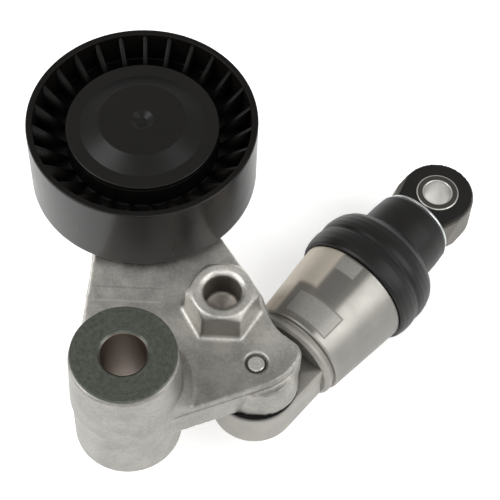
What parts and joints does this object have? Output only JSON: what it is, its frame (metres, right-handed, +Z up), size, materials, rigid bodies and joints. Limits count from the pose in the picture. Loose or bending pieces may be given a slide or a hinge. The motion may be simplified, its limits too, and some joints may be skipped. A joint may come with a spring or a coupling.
{
  "type": "hydraulic belt tensioner",
  "caption": "Belt tensioner: smooth idler pulley on a cast pivoting arm with a wrench hexagon, held out by an oil-damped spring strut with a rubber boot and bolt eye.",
  "frame": {"origin": "pivot axis, on the pivot sleeve's lower end face, which seats on the engine", "axes": "+Z up the pivot axis towards the pulley's front, +Y from the pivot axis to the pulley axis"},
  "size_m": [0.1308, 0.1185, 0.0638],
  "materials": {
    "cast_aluminium": "as die-cast, fine grain, satin",
    "turned_aluminium": "turned along its length, semi-bright",
    "machined_steel": "faced, dark oiled steel",
    "bearing_steel": "ground and polished",
    "zinc_plated_steel": "bright zinc plated",
    "spring_steel": "shot peened, phosphated",
    "bronze": "turned",
    "bush_liner": "low-friction lined steel strip",
    "black_nylon": "glass-filled nylon, moulded, satin",
    "grey_black_nylon": "moulded, satin",
    "black_rubber": "moulded, satin",
    "cage_brass": "pressed"
  },
  "bodies": {
    "pivot": {"pivot_sleeve": "machined_steel"},
    "arm": {"arm_casting": "cast_aluminium", "upper_pivot_bush": "bush_liner", "lower_pivot_bush": "bush_liner", "pulley_bolt": "zinc_plated_steel", "rear_dust_shield": "zinc_plated_steel", "bearing_inner_ring": "bearing_steel", "strut_pin": "zinc_plated_steel", "pin_spacer": "black_nylon", "pin_washer": "zinc_plated_steel", "pin_clip": "spring_steel"},
    "pulley": {"pulley_wheel": "black_nylon", "dust_cap": "grey_black_nylon", "bearing_outer_ring": "bearing_steel", "front_bearing_seal": "black_rubber", "rear_bearing_seal": "black_rubber"},
    "ball_set": {"bearing_balls": "bearing_steel", "bearing_cage": "cage_brass"},
    "cylinder": {"strut_cylinder": "turned_aluminium", "ear_bush": "bronze", "pressure_sleeve": "bearing_steel", "valve_seat": "bearing_steel", "valve_cage": "zinc_plated_steel", "valve_spring": "spring_steel", "return_spring": "spring_steel", "rubber_boot": "black_rubber"},
    "valve_ball": {"check_ball": "bearing_steel"},
    "rod": {"plunger": "bearing_steel", "spring_seat": "zinc_plated_steel", "rod_head": "turned_aluminium", "eye_rubber": "black_rubber", "eye_sleeve": "zinc_plated_steel", "boot_ring": "zinc_plated_steel"}
  },
  "joints": [
    {"name": "arm_swing", "type": "hinge", "parent": "pivot", "child": "arm", "pos_m": [0, 0, 0], "axis": [0, 0, 1], "range_deg": [-20, 20]},
    {"name": "pulley_spin", "type": "hinge", "parent": "arm", "child": "pulley", "pos_m": [0, 0.0707, 0.0361], "axis": [0, 0, 1], "continuous": true},
    {"name": "ball_set_spin", "type": "hinge", "parent": "arm", "child": "ball_set", "pos_m": [0, 0.0707, 0.0361], "axis": [0, 0, 1], "continuous": true},
    {"name": "strut_swing", "type": "hinge", "parent": "arm", "child": "cylinder", "pos_m": [0.0347, 0.0096, 0.0036], "axis": [0, 0, 1], "range_deg": [-60, 2]},
    {"name": "rod_slide", "type": "slide", "parent": "cylinder", "child": "rod", "axis": [0.6157, 0.788, 0], "range_m": [-0.012, 0], "stiffness_N_per_m": 5200, "springref_m": 0.02, "deforming": ["return_spring", "rubber_boot"]},
    {"name": "valve_lift", "type": "slide", "parent": "cylinder", "child": "valve_ball", "axis": [0.6157, 0.788, 0], "range_m": [0, 0.0004], "stiffness_N_per_m": 60, "springref_m": -0.004, "deforming": ["valve_spring"]}
  ],
  "couplings": [
    {"joint": "ball_set_spin", "follows": "pulley_spin", "ratio": 0.6184}
  ]
}
